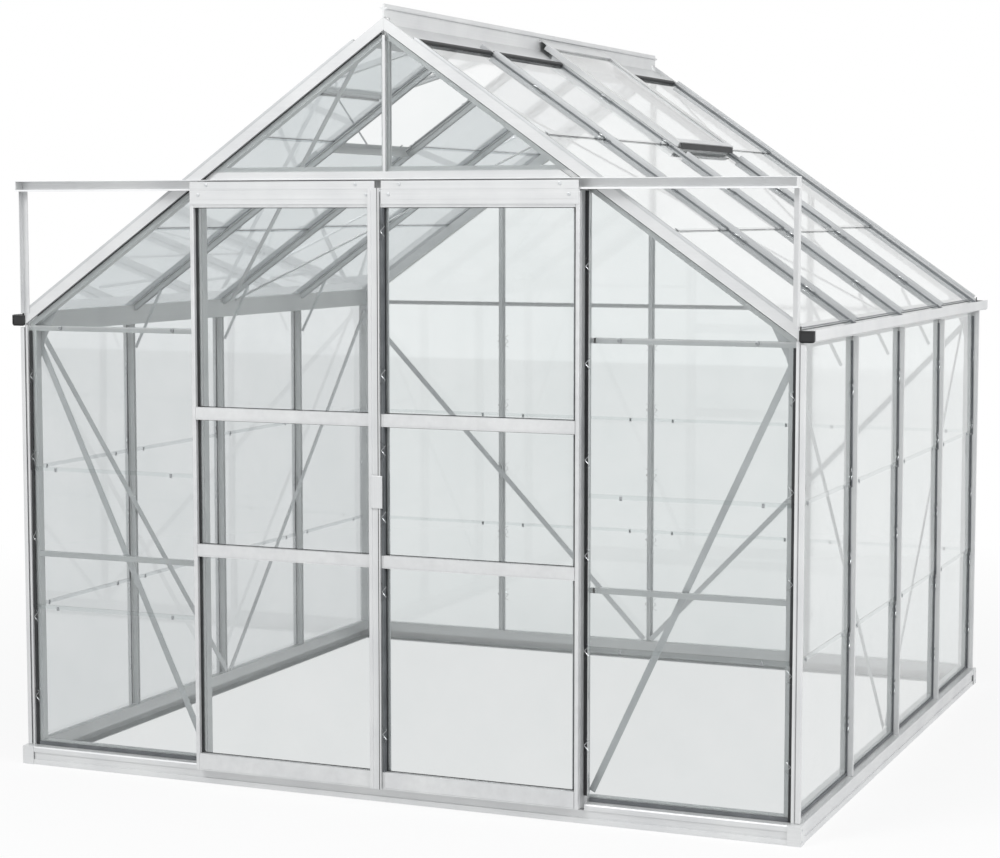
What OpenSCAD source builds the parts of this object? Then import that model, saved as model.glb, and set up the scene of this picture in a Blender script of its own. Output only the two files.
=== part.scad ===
// Aluminium and glass hobby greenhouse, four bays wide, with double sliding doors.
// Millimetres, +Z up, origin on the ground at the middle of the base frame.
// The doors face -Y.  A wall is drawn facing +Y about its own glass seat
// (x along the wall, y outwards, z up) and is then turned to its side.

/* [House] */
// Width over the base frame
base_w = 2570; // [2200:10:3200]
// Depth over the base frame
base_d = 2464; // [2000:10:3200]
// Height of the roof plane above the outer face of the side walls
eaves_h = 1444; // [1300:2:1700]
// Height of the roof plane at the ridge
apex_h = 2332; // [2200:2:2700]
// Number of bays along each side
side_bays = 4; // [4:1:6]

/* [Base] */
// Height of the base rails
base_h = 40; // [30:1:90]
// Depth of the base rails
base_t = 46; // [42:1:70]
// How far the base stands out from the wall frame
base_out = 17; // [8:1:30]
// Height of the sill's outer lip above the base rails
lip_h = 18; // [10:1:30]
// Width of a corner plate's leaf
plate_w = 40; // [25:1:60]

/* [Frame] */
// Height of the stem that stands out of a glazing bar, beside the glass
stem_h = 14; // [10:1:20]
// Width of a glazing bar's seat for the glass
bar_w = 26; // [20:1:36]
// Depth of a glazing bar behind the glass
bar_d = 26; // [20:1:40]
// Wall thickness of the extrusions
skin = 2; // [1.5:0.1:3]
// Distance from the middle to a door post's middle
post_x = 623; // [560:1:700]
// Width of a door post
post_w = 34; // [26:1:44]
// Height of the upper edge of the cross bars at the eaves
cross_h = 1408; // [1300:1:1440]
// Height of the upper edge of the low bars in the front
low_bar_h = 688; // [500:1:900]
// Height of a cross bar's face
cross_t = 16; // [10:1:24]
// Width of the flat braces
brace_w = 20; // [14:1:30]
// Thickness of the flat braces
brace_t = 2.5; // [2:0.1:4]

/* [Glass] */
// Thickness of the glass
glass_t = 3; // [2:0.5:4]
// Gap between a pane's edge and the frame beside it
glass_gap = 3; // [2:0.5:4]
// Overlap where one pane laps over the next
lap = 12; // [8:1:20]
// Slack between two lapped panes
lap_slack = 0.5; // [0.3:0.1:1]
// Thickness of the strip between the frame and the glass
glaze = 0.3; // [0.2:0.1:0.6]
// Number of panes up a wall, and up the roof slope
pane_rows = 3; // [2:1:4]

/* [Gutter] */
// Width of the gutter outside the wall's glass seat
gutter_w = 53; // [45:1:70]
// Height of the gutter's outer wall
gutter_h = 34; // [26:1:44]
// Thickness of a gutter end cap
cap_t = 6; // [3:1:10]

/* [Ridge] */
// Height of the ridge's top above the roof plane
ridge_up = 39; // [25:1:60]
// Length of the ridge's seat along the roof
ridge_seat = 105; // [80:1:130]
// Distance along the roof from the ridge to the top of the glass
roof_glass_top = 78; // [60:1:95]

/* [Vents] */
// Distance along the roof from the ridge to the vent's lower edge
vent_len = 598; // [450:2:700]
// Width of a vent's frame bars
vent_bar = 22; // [16:1:30]
// Angle to which the left vent stands open
vent_open = 19; // [5:1:35]

/* [Doors] */
// Height of the top of the door track
track_h = 1862; // [1780:2:1900]
// Height of the door track
track_t = 32; // [26:1:40]
// Gap between the wall frame and the back of the doors
door_off = 23; // [22:1:35]
// Depth of a door's frame
door_d = 22; // [18:1:26]
// Width of a door
door_w = 628; // [580:2:650]
// Width of a door's stiles
stile_w = 24; // [20:1:34]
// Width of the bead at a stile's outer edge
stile_bead = 12; // [10:1:14]
// Height of a door's lower edge
door_low = 47; // [45:1:60]
// Height of the door's head plate
head_h = 68; // [50:1:90]
// Height of the kick panel at a door's foot
kick_h = 52; // [40:1:80]
// Height of the door's cross rails
rail_h = 38; // [28:1:50]
// Height of the lower edge of the upper cross rail
rail_hi = 1135; // [950:5:1300]
// Height of the lower edge of the lower cross rail
rail_lo = 714; // [500:5:850]
// Height of the handle's middle
handle_z = 942; // [900:1:1100]
// Length of the handle
handle_l = 97; // [70:1:140]
// Diameter of the door's rollers
roller_d = 19; // [16:1:22]

/* [Hidden] */

alu = "gainsboro";
alu_dark = "darkgray";
pane_blue = [0.80, 0.86, 0.87, 0.4];
black_plastic = "black";

// Wall planes: the outer faces of the frame, and the faces the glass seats on
out_x = base_w / 2 - base_out;
out_y = base_d / 2 - base_out;
seat_x = out_x - stem_h;
seat_y = out_y - stem_h;
lip_out = base_out + stem_h;
sill_z = base_h + lip_h;
ledge_z = sill_z + 2;
box_z = sill_z + 18;

// Roof: pitch, and the line where its glass seat crosses the wall's glass seat
pitch = atan((apex_h - eaves_h) / out_x);
function roof_z(x, n) = apex_h - x * tan(pitch) + (n - stem_h) / cos(pitch);
function roof_x(z, n) = (roof_z(0, n) - z) / tan(pitch);
seat_z = roof_z(seat_x, 0);
slope_len = seat_x / cos(pitch);
nose_n = 16;
raft_n = 34;
tube = bar_d;
gable_len = 2 * (seat_y - tube);

// Eaves: floor of the gutter, top of the wall glass, foot of the eaves beam
floor_z = seat_z - 28;
glass_top = seat_z - 32;
beam_z = seat_z - 49;
beam_top = skin / cos(pitch);

// Bays
side_pitch = 2 * out_y / side_bays;
gable_pitch = out_x / 2;
mid_bar = floor(side_bays / 2);
glass_side = bar_w / 2;
function bar_y(i) = -out_y + i * side_pitch;
joint = 0.3;

// Doors
track_front = out_y + 40;
door_back = out_y + door_off;
door_front = door_back + door_d;
plate_y = door_front;
plate_t = 2.5;
track_low = track_h - track_t;
head_z = track_h + 22;
stile_top = track_low - 5;
leaf_gap = 6;
strip_w = 31;
strip_over = 7;
strip_top = track_h - 27;
roller_z = track_low + skin + 3.3 + roller_d / 2;
roller_y = track_front - 1;

function mirrored(half) = concat(half, [for (i = [len(half) - 1 : -1 : 0]) [-half[i][0], half[i][1]]]);

// Turn a wall that faces +Y to its own side of the house
module on_rear() translate([0, seat_y, 0]) children();
module on_front() rotate([0, 0, 180]) translate([0, seat_y, 0]) children();
module on_right() rotate([0, 0, -90]) translate([0, seat_x, 0]) children();
module on_left() rotate([0, 0, 90]) translate([0, seat_x, 0]) children();

// Lay a wall back on the roof: x along the eaves, y off the glass, z up the slope
module laid_back() translate([0, 0, seat_z]) rotate([90 - pitch, 0, 0]) children();
module on_right_slope() on_right() laid_back() children();
module on_left_slope() on_left() laid_back() children();

module both_sides() {
    children();
    mirror([1, 0, 0]) children();
}

module both_ends() {
    children();
    mirror([0, 1, 0]) children();
}

// Upright extrusion between two heights
module upright(z0, z1) translate([0, 0, z0]) linear_extrude(z1 - z0) children();

// Extrusion along X, centred, of an outline drawn as [outwards, up]
module along_wall(len) rotate([90, 0, 90]) translate([0, 0, -len / 2]) linear_extrude(len) children();

// Outline of a glazing bar: stem and bead outside, web and bolt channel inside
module bar_outline() {
    bead = 8;
    web = 3;
    chan = 15;
    polygon(mirrored([
        [bead / 2, stem_h], [bead / 2, stem_h - 3], [web / 2, stem_h - 3], [web / 2, 0],
        [bar_w / 2, 0], [bar_w / 2, -skin], [web / 2, -skin], [web / 2, 7 - bar_d],
        [chan / 2, 7 - bar_d], [chan / 2, -bar_d]
    ]));
}

// The part of a glazing bar that stands in front of the frame behind it
module stem_outline() {
    bead = 8;
    web = 3;
    polygon(mirrored([
        [bead / 2, stem_h], [bead / 2, stem_h - 3], [web / 2, stem_h - 3], [web / 2, joint]
    ]));
}

// Glazing bar from z0 to z1, whose stem runs on from s0 to s1
module glazing_bar(z0, z1, s0, s1) {
    upright(z0, z1) bar_outline();
    upright(s0, s1) stem_outline();
}

// Lapped panes in one bay, between two x and two z, each leaning over the one below
module pane_stack(x0, x1, z0, z1, rows) {
    step = (z1 - z0 - lap) / rows;
    lean = glass_t + lap_slack;
    for (i = [0 : rows - 1]) {
        low = z0 + i * step;
        foot = i == 0 ? glaze : glaze + lean;
        translate([x0, 0, 0]) rotate([90, 0, 90]) linear_extrude(x1 - x0)
            polygon([
                [foot, low], [foot + glass_t, low],
                [glaze + glass_t, low + step + lap], [glaze, low + step + lap]
            ]);
    }
}

// ---- Base ----------------------------------------------------------------

module base_outline() {
    r = 4;
    o = lip_out;
    i = lip_out - base_t;
    difference() {
        polygon([
            [i, 0], [o, 0], [o, base_h * 0.42], [o - r, base_h * 0.48], [o - r, base_h], [i, base_h]
        ]);
        polygon([
            [i + skin, skin], [o - skin, skin], [o - skin, base_h * 0.42 - 1],
            [o - r - skin, base_h * 0.48], [o - r - skin, base_h - skin], [i + skin, base_h - skin]
        ]);
    }
}

module base_front() color(alu) on_front() along_wall(base_w) base_outline();
module base_rear() color(alu) on_rear() along_wall(base_w) base_outline();
module base_left() color(alu) on_left() along_wall(base_d - 2 * base_t) base_outline();
module base_right() color(alu) on_right() along_wall(base_d - 2 * base_t) base_outline();

module base_corner_plates() color(alu)
    both_ends() both_sides()
        translate([base_w / 2, base_d / 2, 0]) linear_extrude(sill_z) difference() {
            translate([skin - plate_w, skin - plate_w]) square(plate_w);
            translate([-plate_w, -plate_w]) square(plate_w);
        }

// Sill: outer lip and ledge under the glass, with a box behind it for the bars
module ledge_outline() {
    polygon([
        [-bar_d, base_h], [lip_out, base_h], [lip_out, sill_z - 4], [lip_out - 2, sill_z],
        [9, ledge_z], [-bar_d, ledge_z]
    ]);
}

module box_outline() {
    difference() {
        translate([-bar_d, ledge_z]) square([bar_d, box_z - ledge_z]);
        translate([skin - bar_d, ledge_z + skin]) square([bar_d - 2 * skin, box_z - ledge_z - 2 * skin]);
    }
}

module front_sills() color(alu) on_front() {
    post_out = post_x + post_w / 2 + joint;
    both_sides() {
        ledge_len = base_w / 2 - post_out;
        translate([post_out + ledge_len / 2, 0, 0]) along_wall(ledge_len) ledge_outline();
        box_len = seat_x - post_out;
        translate([post_out + box_len / 2, 0, 0]) along_wall(box_len) box_outline();
    }
}

module rear_sill() color(alu) on_rear() {
    along_wall(base_w) ledge_outline();
    along_wall(2 * seat_x) box_outline();
}

module side_sills() color(alu) both_sides() on_right() {
    along_wall(2 * (seat_y - bar_d)) ledge_outline();
    along_wall(2 * (seat_y - bar_d)) box_outline();
}

// ---- Posts and bars ------------------------------------------------------

// Corner post: a square tube behind the glass with a rounded nose outside it
module corner_nose() {
    intersection() {
        translate([-skin, -skin]) square(stem_h + skin);
        translate([-skin, -skin]) circle(r = stem_h + skin, $fn = 64);
    }
}

module corner_posts() color(alu)
    both_ends() both_sides() translate([seat_x, seat_y, 0]) {
        upright(box_z, floor_z) difference() {
            union() {
                translate([-tube, -tube]) square(tube);
                corner_nose();
            }
            translate([skin - tube, skin - tube]) square(tube - 2 * skin);
        }
        upright(ledge_z, box_z) difference() {
            corner_nose();
            translate([-tube, -tube]) square(tube);
        }
    }

module door_posts() color(alu) on_front() both_sides() intersection() {
    half = post_w / 2;
    union() {
        upright(base_h, track_low) translate([post_x - half, -bar_d]) difference() {
            square([post_w, bar_d + stem_h]);
            translate([skin, skin]) square([post_w - 2 * skin, bar_d + stem_h - 2 * skin]);
        }
        upright(box_z + joint, track_low) translate([post_x + half - skin, -skin]) square([14 + skin, skin]);
    }
    in_gable() gable_strip(base_h, track_low - joint);
}

module side_wall_bars() color(alu) both_sides() on_right()
    for (i = [1 : side_bays - 1])
        translate([bar_y(i), 0, 0]) glazing_bar(box_z, beam_z, ledge_z, glass_top - 9);

module rear_wall_bars() color(alu) on_rear()
    for (x = [-gable_pitch, 0, gable_pitch]) {
        side = abs(x) + bar_w / 2;
        translate([x, 0, 0]) glazing_bar(
            box_z, roof_z(side, -raft_n) - 1, ledge_z, roof_z(side, -nose_n) - 6
        );
    }

// ---- Eaves ---------------------------------------------------------------

// Height, above the seat line, of the eaves beam's sloping top at a distance out
function beam_rise(y) = -y * tan(pitch) - beam_top;

module beam_outline() {
    difference() {
        polygon([
            [0, beam_z], [0, seat_z + beam_rise(0)], [-bar_d, seat_z + beam_rise(-bar_d)], [-bar_d, beam_z]
        ]);
        polygon([
            [-skin, beam_z + skin], [-skin, seat_z + beam_rise(0) - 4],
            [skin - bar_d, seat_z + beam_rise(skin - bar_d) - 4], [skin - bar_d, beam_z + skin]
        ]);
    }
}

module gutter_outline() {
    w = gutter_w;
    f = floor_z;
    t = skin;
    polygon([
        [0, f], [w - 4, f], [w, f + 4],
        [w, f + gutter_h], [w - 5, f + gutter_h], [w - 5, f + gutter_h - t], [w - t, f + gutter_h - t],
        [w - t, f + 5], [w - 5, f + t], [0, f + t]
    ]);
}

module gutter() {
    along_wall(gable_len - 2 * skin - 1) beam_outline();
    along_wall(2 * out_y) gutter_outline();
    along_wall(gable_len) translate([7, floor_z - 10]) square([skin, 10 + skin / 2]);
}

module left_gutter() color(alu) on_left() gutter();
module right_gutter() color(alu) on_right() gutter();

module gutter_end_caps() color(black_plastic)
    both_ends() both_sides() translate([seat_x, out_y, 0]) rotate([90, 0, 0])
        translate([0, 0, -cap_t - joint]) linear_extrude(cap_t) {
            f = floor_z;
            polygon([
                [0, f - 8], [6, f - 8], [10, f - 2], [gutter_w - 4, f - 2], [gutter_w + 2, f + 4],
                [gutter_w + 2, f + gutter_h], [gutter_w, f + gutter_h + 2], [8, f + gutter_h + 2],
                [0, f + gutter_h - 10]
            ]);
        }

// ---- Gables --------------------------------------------------------------

// Rafter in the gable: a tube under the roof's seat, with a nose outside the gable
module rafter_outline() {
    difference() {
        union() {
            translate([0, -raft_n]) square([tube, raft_n]);
            translate([-stem_h, -nose_n]) square([stem_h, nose_n + stem_h]);
        }
        translate([skin, skin - raft_n]) square([tube - 2 * skin, raft_n - 2 * skin]);
        translate([skin - stem_h, skin - nose_n]) square([stem_h - 2 * skin, nose_n + stem_h - 2 * skin]);
    }
}

module rafter_limit() {
    end_x = out_x - 4;
    polygon([
        [joint / 2, floor_z + joint], [seat_x - joint, floor_z + joint],
        [seat_x - joint, floor_z + skin + joint], [end_x, floor_z + skin + joint],
        [end_x, apex_h + 100], [joint / 2, apex_h + 100]
    ]);
}

// Both rafters of the gable at the rear
module gable_rafters() both_sides() intersection() {
    on_right_slope() mirror([1, 0, 0]) translate([seat_y, 0, -80])
        linear_extrude(slope_len + 160) mirror([1, 0]) rafter_outline();
    translate([0, seat_y + stem_h + 1, 0]) rotate([90, 0, 0]) linear_extrude(stem_h + tube + 2) rafter_limit();
}

module rear_rafters() color(alu) gable_rafters();
module front_rafters() color(alu) mirror([0, 1, 0]) gable_rafters();

// Half width of the gable between its rafters, at a height
function gable_reach(z) = roof_x(z, -raft_n) - joint;

module gable_strip(z0, z1) polygon([
    [-gable_reach(z0), z0], [gable_reach(z0), z0], [gable_reach(z1), z1], [-gable_reach(z1), z1]
]);

module in_gable() rotate([90, 0, 0]) translate([0, 0, -2 * stem_h]) linear_extrude(bar_d + 3 * stem_h) children();

// Beam behind the track, with a seat above it for the glass
module door_head_beam() color(alu) on_front() intersection() {
    along_wall(base_w) polygon([
        [-bar_d, track_low], [stem_h, track_low], [stem_h, head_z], [0, head_z], [0, head_z + 15],
        [-skin, head_z + 15], [-skin, track_low + skin], [-bar_d, track_low + skin]
    ]);
    in_gable() gable_strip(track_low, head_z + 15);
}

module gable_mullion() color(alu) on_front()
    glazing_bar(head_z + 15, roof_z(bar_w / 2, -raft_n) - 1, head_z, roof_z(bar_w / 2, -nose_n) - 6);

// Angle behind the glass, with its face against the glass seat
module cross_outline() {
    polygon([
        [-18, 0], [0, 0], [0, -cross_t], [-skin, -cross_t], [-skin, -skin], [-18, -skin]
    ]);
}

module front_cross_bars() color(alu) on_front() both_sides() {
    x0 = post_x + post_w / 2 + 14;
    x1 = seat_x - tube;
    for (z = [cross_h, low_bar_h])
        translate([(x0 + x1) / 2, 0, z]) along_wall(x1 - x0) cross_outline();
}

module rear_cross_bars() color(alu) on_rear() both_sides() {
    x2 = gable_pitch - bar_w / 2;
    for (span = [[bar_w / 2, x2], [gable_pitch + bar_w / 2, seat_x - tube]])
        translate([(span[0] + span[1]) / 2, 0, cross_h]) along_wall(span[1] - span[0]) cross_outline();
}

// ---- Roof ----------------------------------------------------------------

// Ridge: a tall fin with a bead and hinge ledges, over two sloping seats
module ridge_outline() {
    top = apex_h + ridge_up;
    dx = ridge_seat * cos(pitch);
    polygon(mirrored([
        [3, top], [3.6, top - 10], [12, top - 12], [12, top - 15], [4, top - 18], [3, top - 22],
        [3, roof_z(3, 0)], [dx, roof_z(dx, 0)], [dx, roof_z(dx, -skin)],
        [16, roof_z(16, -skin)], [16, roof_z(16, -skin) - 14]
    ]));
}

// Rear half of the ridge: the seats stop at the rafters, the fin runs on over them
module half_ridge() rotate([90, 0, 0]) translate([0, 0, -out_y]) {
    translate([0, 0, out_y - seat_y + tube + joint]) linear_extrude(seat_y - tube - 1.5 * joint) ridge_outline();
    linear_extrude(out_y - joint / 2) intersection() {
        ridge_outline();
        translate([-50, apex_h + joint]) square(100);
    }
}

module rear_half_ridge() color(alu) half_ridge();
module front_half_ridge() color(alu) mirror([0, 1, 0]) half_ridge();

module slope_bars() {
    beam_s = (bar_d + 4) / cos(pitch);
    top_s = slope_len - ridge_seat - skin;
    for (i = [1 : side_bays - 1])
        translate([bar_y(i), 0, 0]) glazing_bar(beam_s, top_s, -6, slope_len - roof_glass_top + 20);
}

module right_roof_bars() color(alu) on_right_slope() slope_bars();
module left_roof_bars() color(alu) on_left_slope() slope_bars();

// ---- Vents ---------------------------------------------------------------

vent_w = side_pitch - 3;
vent_n = stem_h + joint;
vent_d = 19;
vent_top = 16;
hinge_s = 8;

// A vent's frame lying closed on a slope: two stiles between a head and a foot rail
module vent_frame() translate([0, vent_n, slope_len - vent_len]) {
    len = vent_len - vent_top;
    b = vent_bar;
    pocket = [vent_w - 12, glass_t + 1, len - 12];
    both_sides() difference() {
        translate([vent_w / 2 - b, 0, b + joint]) cube([b, vent_d, len - 2 * b - 2 * joint]);
        translate([-pocket[0] / 2, 9, 6]) cube(pocket);
    }
    difference() {
        translate([-vent_w / 2, 0, 0]) cube([vent_w, vent_d, b]);
        translate([-pocket[0] / 2, 9, 6]) cube(pocket);
    }
    difference() {
        union() {
            translate([-vent_w / 2, 0, len - b]) cube([vent_w, vent_d, b]);
            translate([-vent_w / 2, vent_d - 3, len - b]) cube([vent_w, 3, b + vent_top + hinge_s]);
        }
        translate([-pocket[0] / 2, 9, 6]) cube(pocket);
    }
}

module vent_pane() translate([6.5 - vent_w / 2, vent_n + 9.5, slope_len - vent_len + 6.5])
    cube([vent_w - 13, glass_t, vent_len - vent_top - 13]);

// Swing a closed vent up about its hinge under the ridge's ledge
module swung(angle) translate([0, vent_n + vent_d, slope_len + hinge_s]) rotate([angle, 0, 0])
    translate([0, -vent_n - vent_d, -slope_len - hinge_s]) children();

module in_left_vent_bay() on_left_slope() translate([bar_y(mid_bar - 1) + side_pitch / 2, 0, 0]) children();
module in_right_vent_bay() on_right_slope() translate([-(bar_y(mid_bar) + side_pitch / 2), 0, 0]) children();

module left_vent_frame() color(alu_dark) in_left_vent_bay() swung(vent_open) vent_frame();
module right_vent_frame() color(alu) in_right_vent_bay() vent_frame();
module vent_glass() color(pane_blue) {
    in_left_vent_bay() swung(vent_open) vent_pane();
    in_right_vent_bay() vent_pane();
}

// Angle across the bay under a vent's lower edge
module vent_sill() translate([0, 0, slope_len - vent_len]) along_wall(side_pitch - bar_w - joint)
    polygon([[-18, 0], [stem_h - 4, 0], [stem_h - 4, 22], [stem_h - 6, 22], [stem_h - 6, skin], [-18, skin]]);

module vent_sills() color(alu) {
    in_left_vent_bay() vent_sill();
    in_right_vent_bay() vent_sill();
}

// Flat casement stay, from the sill up to the open vent's foot rail
module vent_stays() color(alu_dark) in_left_vent_bay()
    translate([-5, stem_h - 4 + joint, slope_len - vent_len + 3])
        cube([10, stay_rise, 3]);
stay_arm = vent_len + hinge_s;
stay_rise = stay_arm * sin(vent_open) - vent_d * cos(vent_open) + vent_d + 4 + 8 * tan(vent_open);

// ---- Track and doors -----------------------------------------------------

module track_outline() {
    // drawn as [outwards from the wall's outer face, up]
    d = track_front - out_y;
    polygon([
        [0, 0], [d, 0], [d, skin + 3], [d - skin, skin + 3], [d - skin, skin], [skin, skin],
        [skin, track_t - skin], [d, track_t - skin], [d, track_t], [0, track_t]
    ]);
}

module door_track() color(alu) on_front()
    translate([0, stem_h + joint, track_low]) along_wall(2 * (out_x - 6)) track_outline();

module track_struts() color(alu) on_front() both_sides()
    translate([out_x - 26, stem_h + joint, 0]) upright(floor_z + gutter_h + 5, track_low - joint) difference() {
        square(20);
        translate([-1, skin]) square([21 - skin, 20]);
    }

// One leaf at rest on the side of +X, drawn facing -Y in world axes
leaf_x0 = leaf_gap / 2;
leaf_x1 = leaf_x0 + door_w;
head_low = track_h - 6 - head_h;
pane_lap = 8;
pane_spans = [
    [door_low + kick_h, rail_lo], [rail_lo + rail_h, rail_hi], [rail_hi + rail_h, head_low - 9]
];
leaf_rails = [
    [door_low, pane_spans[0][0]], [rail_lo, rail_lo + rail_h], [rail_hi, rail_hi + rail_h],
    [pane_spans[2][1], stile_top]
];

// Leaf drawn flat: x across, y up, z from its back to its face
module on_leaf() translate([0, -door_back, 0]) rotate([90, 0, 0]) children();

// Stile: a deep bead at the outer edge and a flange behind the glass
module stile() translate([0, stile_top, 0]) rotate([90, 0, 0]) linear_extrude(stile_top - door_low)
    polygon([
        [0, 0], [stile_w, 0], [stile_w, skin], [stile_bead, skin], [stile_bead, door_d - 2],
        [stile_bead - 2, door_d], [1, door_d], [0, door_d - 1]
    ]);

// Hollow rail between the beads, in front of the glass
module leaf_rail(z0, z1) {
    back = skin + glass_t + 2 * joint + 1;
    len = door_w - 2 * (stile_bead + joint);
    deep = door_d - joint - back;
    translate([leaf_x0 + stile_bead + joint, z0, back]) difference() {
        cube([len, z1 - z0, deep]);
        translate([-1, skin, skin]) cube([len + 2, z1 - z0 - 2 * skin, deep - 2 * skin]);
        translate([-1, 3, deep - 1]) cube([len + 2, 1.2, 2]);
    }
}

module leaf_frame() on_leaf() {
    translate([leaf_x0, 0, 0]) stile();
    translate([leaf_x1, 0, 0]) mirror([1, 0, 0]) stile();
    for (span = leaf_rails)
        leaf_rail(span[0], span[1]);
}

module leaf_glass() on_leaf() for (span = pane_spans)
    translate([leaf_x0 + stile_bead + 0.7, span[0] - pane_lap, skin + joint])
        cube([door_w - 2 * (stile_bead + 0.7), span[1] - span[0] + 2 * pane_lap, glass_t]);

// Head plate, with two grooves along its face
module head_plate(x0, x1) translate([x0, -plate_y - plate_t, head_low]) difference() {
    cube([x1 - x0, plate_t, head_h]);
    for (z = [13, head_h - 26])
        translate([-1, -1, z]) cube([x1 - x0 + 2, 1.8, 1.5]);
}

// Two rollers, each on a pin from the head plate, running on the track's rail
module leaf_rollers() for (x = [leaf_x0 + 60, leaf_x1 - 60])
    translate([x, -plate_y, roller_z]) rotate([-90, 0, 0]) {
        cylinder(d = 8, h = plate_y - roller_y, $fn = 32);
        translate([0, 0, plate_y - roller_y - 3]) cylinder(d = roller_d, h = 6, $fn = 64);
    }

module right_door_frame() color(alu) leaf_frame();
module right_door_head() color(alu) head_plate(strip_over + joint + 5, leaf_x1 - 2);
module right_door_glass() color(pane_blue) leaf_glass();
module right_door_rollers() color(black_plastic) leaf_rollers();
module left_door_frame() color(alu) mirror([1, 0, 0]) leaf_frame();
module left_door_head() color(alu) difference() {
    head_plate(2 - leaf_x1, -leaf_x0 - 6);
    translate([-strip_w, -plate_y - plate_t - 1, head_low - 1])
        cube([strip_w, plate_t + 2, strip_top - head_low + 1 + joint]);
}
module left_door_glass() color(pane_blue) mirror([1, 0, 0]) leaf_glass();
module left_door_rollers() color(black_plastic) mirror([1, 0, 0]) leaf_rollers();

// Strip on the left door's inner stile that stands over the joint between the doors
module meeting_strip() color(alu) upright(door_low, strip_top)
    translate([0, -door_front]) polygon([
        [-strip_w, 0], [-strip_w, -5], [-strip_w + 1, -6], [-strip_w + 11, -6], [-strip_w + 12, -4],
        [-4, -4], [-1, -5], [-1, -7], [strip_over, -7], [strip_over, -5.5], [0, -5.5], [0, -3],
        [-leaf_x0, -2], [-leaf_x0, 0]
    ]);

module left_door_handle() color("silver")
    translate([-strip_w + 1, -door_front - 7 - joint, handle_z - handle_l / 2]) rotate([90, 0, 0])
        linear_extrude(3.5) polygon([
            [0, 0], [strip_w + 4, 0], [strip_w + 7, 3], [strip_w + 7, handle_l - 3],
            [strip_w + 4, handle_l], [0, handle_l]
        ]);

// ---- Glass ---------------------------------------------------------------

stem_clear = 4 + glass_gap - 2;

module side_glass() on_right()
    for (i = [0 : side_bays - 1]) {
        x0 = i == 0 ? -seat_y + skin + glass_gap : bar_y(i) + stem_clear;
        x1 = i == side_bays - 1 ? seat_y - skin - glass_gap : bar_y(i + 1) - stem_clear;
        pane_stack(x0, x1, ledge_z, glass_top, pane_rows);
    }

module right_wall_glass() color(pane_blue) side_glass();
module left_wall_glass() color(pane_blue) mirror([1, 0, 0]) side_glass();

module rear_wall_glass() color(pane_blue) on_rear() both_sides() {
    pane_stack(stem_clear, gable_pitch - stem_clear, ledge_z, cross_h - 4, pane_rows);
    pane_stack(gable_pitch + stem_clear, seat_x - skin - glass_gap, ledge_z, cross_h - 4, pane_rows);
}

module front_wall_glass() color(pane_blue) on_front() both_sides()
    pane_stack(post_x + post_w / 2 + glass_gap, seat_x - skin - glass_gap, ledge_z, cross_h - 4, pane_rows);

// Pane under the roof line, between two x and two z
module gable_pane(x0, x1, z0, z1) rotate([90, 0, 0]) translate([0, 0, -glass_t - glaze]) linear_extrude(glass_t)
    intersection() {
        n = -nose_n - glass_gap;
        polygon([[0, z0], [roof_x(z0, n), z0], [0, roof_z(0, n)]]);
        translate([x0, z0]) square([x1 - x0, z1 - z0]);
    }

module gable_glass() color(pane_blue) {
    end = seat_x - skin - glass_gap;
    on_rear() both_sides() {
        gable_pane(stem_clear, gable_pitch - stem_clear, cross_h - 1, apex_h);
        gable_pane(gable_pitch + stem_clear, end, cross_h - 1, apex_h);
    }
    on_front() both_sides() {
        gable_pane(stem_clear, seat_x, head_z + 2, apex_h);
        gable_pane(post_x + post_w / 2 + glass_gap, end, cross_h - 1, track_low - 1);
    }
}

// Roof glass: full stacks, and a shorter one under a vent
module slope_glass(vent_bay) {
    top = slope_len - roof_glass_top;
    step = (top - lap + 14) / pane_rows;
    for (i = [0 : side_bays - 1]) {
        x0 = i == 0 ? -seat_y + glass_gap : bar_y(i) + stem_clear;
        x1 = i == side_bays - 1 ? seat_y - glass_gap : bar_y(i + 1) - stem_clear;
        if (i == vent_bay)
            pane_stack(x0, x1, -14, slope_len - vent_len - 2, pane_rows - 1);
        else
            pane_stack(x0, x1, -14, top, pane_rows);
    }
}

module right_roof_glass() color(pane_blue) on_right_slope() mirror([1, 0, 0]) slope_glass(mid_bar);
module left_roof_glass() color(pane_blue) on_left_slope() slope_glass(mid_bar - 1);

// ---- Braces --------------------------------------------------------------

// Flat brace behind a wall, between two points drawn as [x, z]
module flat_brace(a, b, y) {
    d = b - a;
    translate([a[0], y, a[1]]) rotate([0, -atan2(d[1], d[0]), 0])
        translate([0, -brace_t, -brace_w / 2]) cube([norm(d), brace_t, brace_w]);
}

module wall_braces() color(alu) {
    foot = box_z + 8;
    head = beam_z - 20;
    on_front() both_sides() flat_brace([post_x + 20, foot], [seat_x - 12, head], -bar_d - skin - joint);
    on_rear() both_sides() flat_brace([14, foot], [seat_x - 12, head], -bar_d - skin - joint);
    both_sides() on_right() {
        mid = bar_y(mid_bar);
        flat_brace([mid - 14, foot], [45 - seat_y, head], -bar_d - joint);
        flat_brace([mid + 14, foot], [seat_y - 45, head], -bar_d - joint);
    }
}

module roof_braces() color(alu) both_sides() on_right_slope() intersection() {
    mid = bar_y(mid_bar);
    union() {
        flat_brace([mid - 14, 60], [-seat_y, slope_len - 120], -bar_d - joint);
        flat_brace([mid + 14, 60], [seat_y, slope_len - 120], -bar_d - joint);
    }
    translate([joint - gable_len / 2, -100, 0]) cube([gable_len - 2 * joint, 100, slope_len]);
}

// Strip from each wall bar up to the roof bar above it
module knee_braces() color(alu) both_sides() on_right() {
    foot_z = eaves_h - 134;
    run = 100;
    rise = 194;
    for (i = [1 : side_bays - 1])
        translate([bar_y(i) + 8, -bar_d, foot_z]) rotate([atan(run / rise), 0, 0])
            translate([0, -brace_w / 2, 0]) cube([brace_t, brace_w / 2, norm([run, rise])]);
}

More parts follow.
